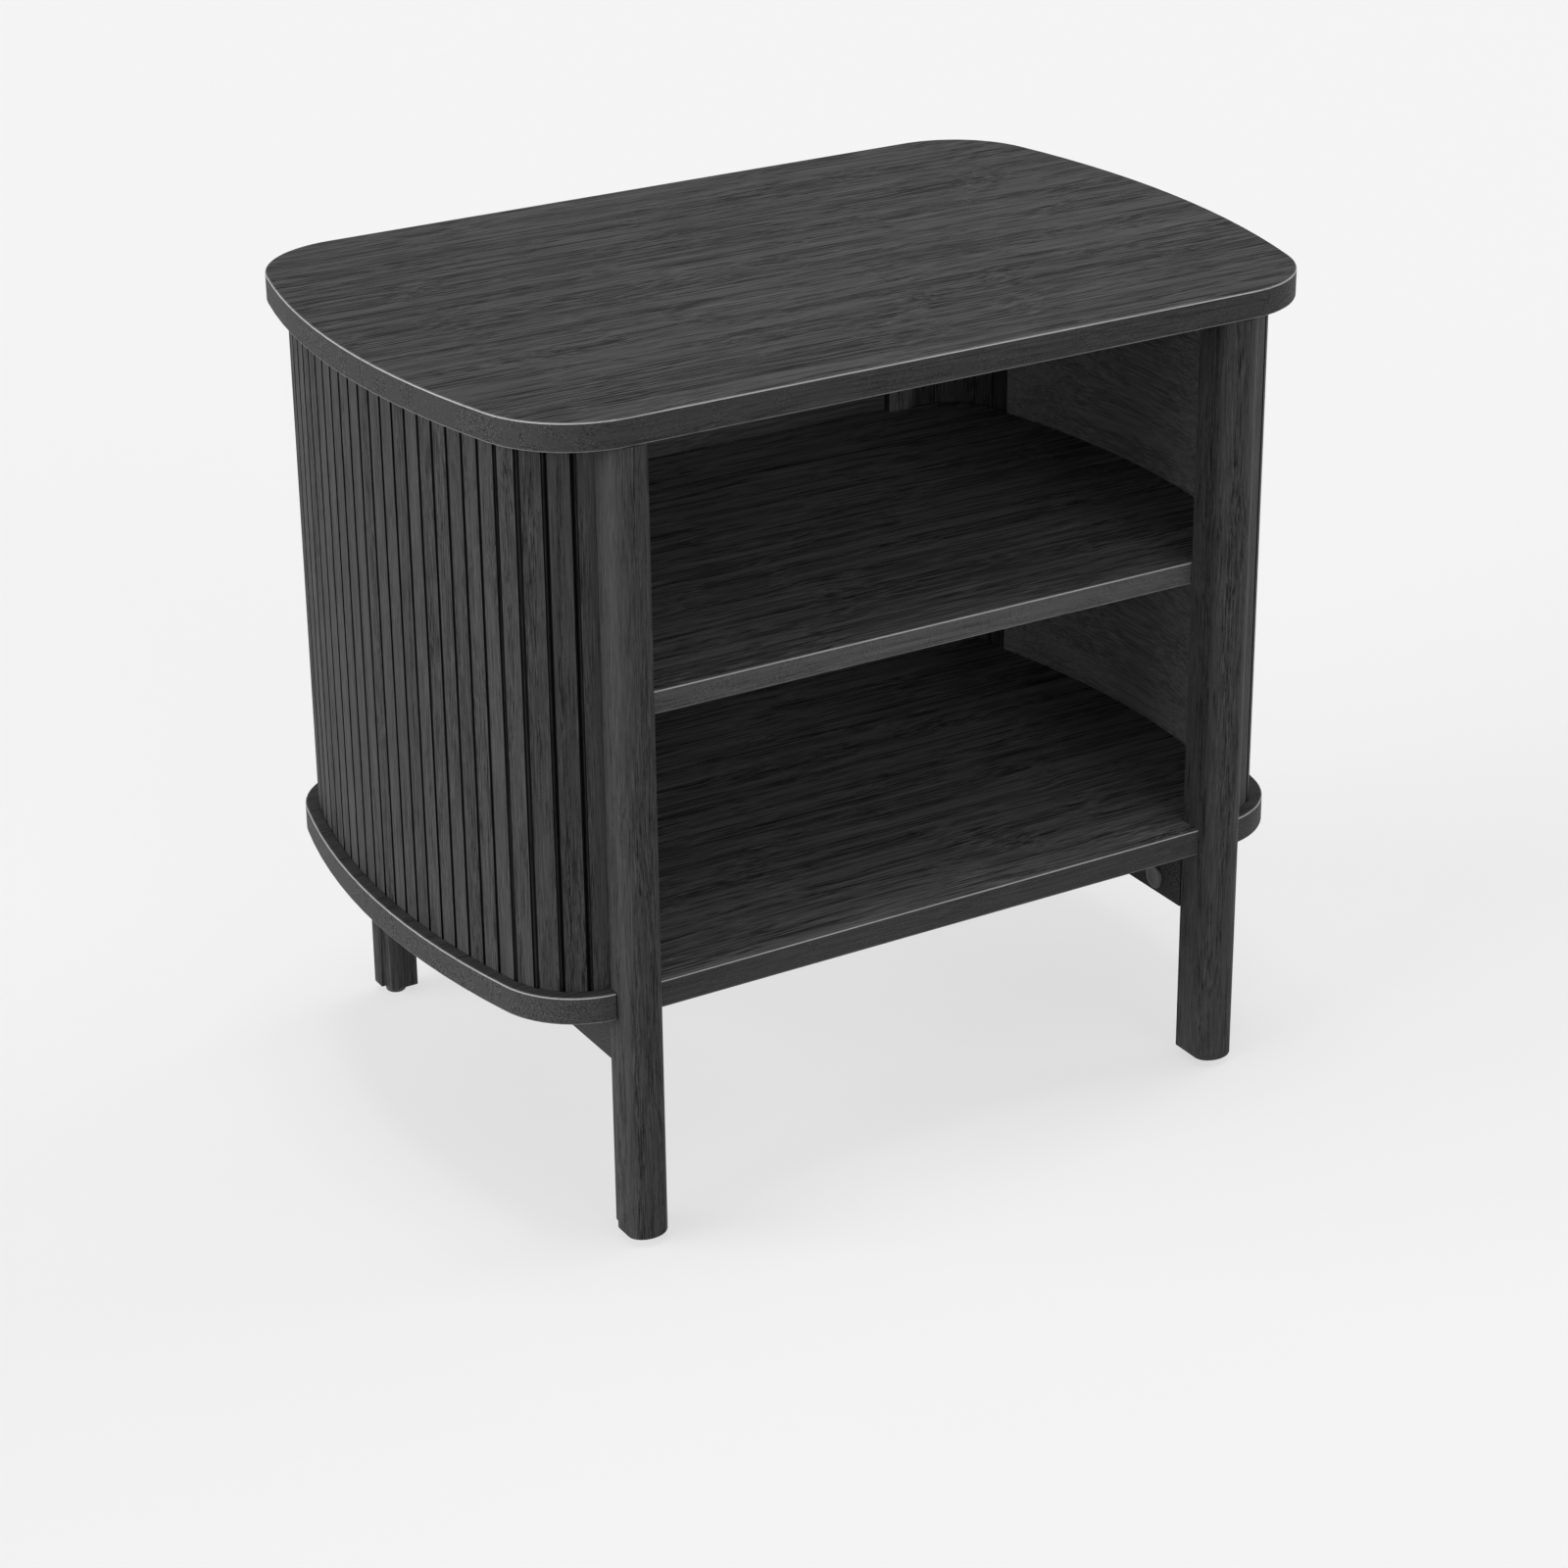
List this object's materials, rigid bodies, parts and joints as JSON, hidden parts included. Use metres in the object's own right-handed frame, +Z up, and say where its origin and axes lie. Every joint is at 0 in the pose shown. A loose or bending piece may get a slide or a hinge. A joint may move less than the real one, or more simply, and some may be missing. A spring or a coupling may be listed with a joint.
{
  "type": "nightstand with curved slatted sides",
  "caption": "Dark stained wooden nightstand: bowed top, open front bays over a middle shelf, curved slatted sides and full-height legs",
  "frame": {"origin": "on the floor, under the centre of the top board", "axes": "+X to the right and -Y out of the open front, as one faces it, and +Z up"},
  "size_m": [0.6, 0.4, 0.536],
  "materials": {
    "stained_wood": "black-grey stain over an open straight grain, low satin sheen",
    "inner_wood": "black-grey stain on thin sheet wood, duller than the outside",
    "black_plastic": "moulded, fine matt",
    "zinc_steel": "zinc plated, mostly hidden in the joints",
    "beech": "plain turned dowel, hidden in the joints"
  },
  "bodies": {
    "root": {"top_board": "stained_wood", "base_board": "stained_wood", "middle_shelf": "stained_wood", "left_slatted_side": "stained_wood", "right_slatted_side": "stained_wood", "left_side_rail": "stained_wood", "right_side_rail": "stained_wood", "front_left_leg": "stained_wood", "rear_left_leg": "stained_wood", "front_right_leg": "stained_wood", "rear_right_leg": "stained_wood", "back_panel": "inner_wood", "left_side_lining": "inner_wood", "right_side_lining": "inner_wood", "front_left_glide": "black_plastic", "rear_left_glide": "black_plastic", "front_right_glide": "black_plastic", "rear_right_glide": "black_plastic", "front_left_cam_cap": "black_plastic", "rear_left_cam_cap": "black_plastic", "front_right_cam_cap": "black_plastic", "rear_right_cam_cap": "black_plastic", "front_left_top_bolt": "zinc_steel", "front_left_top_cam": "zinc_steel", "front_left_shelf_bolt": "zinc_steel", "front_left_shelf_cam": "zinc_steel", "front_left_rail_bolt": "zinc_steel", "front_left_rail_cam": "zinc_steel", "rear_left_top_bolt": "zinc_steel", "rear_left_top_cam": "zinc_steel", "rear_left_shelf_bolt": "zinc_steel", "rear_left_shelf_cam": "zinc_steel", "rear_left_rail_bolt": "zinc_steel", "rear_left_rail_cam": "zinc_steel", "front_right_top_bolt": "zinc_steel", "front_right_top_cam": "zinc_steel", "front_right_shelf_bolt": "zinc_steel", "front_right_shelf_cam": "zinc_steel", "front_right_rail_bolt": "zinc_steel", "front_right_rail_cam": "zinc_steel", "rear_right_top_bolt": "zinc_steel", "rear_right_top_cam": "zinc_steel", "rear_right_shelf_bolt": "zinc_steel", "rear_right_shelf_cam": "zinc_steel", "rear_right_rail_bolt": "zinc_steel", "rear_right_rail_cam": "zinc_steel", "left_back_screw": "zinc_steel", "middle_back_screw": "zinc_steel", "right_back_screw": "zinc_steel", "front_left_upper_dowel": "beech", "front_left_lower_dowel": "beech", "rear_left_upper_dowel": "beech", "rear_left_lower_dowel": "beech", "front_right_upper_dowel": "beech", "front_right_lower_dowel": "beech", "rear_right_upper_dowel": "beech", "rear_right_lower_dowel": "beech"}
  },
  "joints": []
}
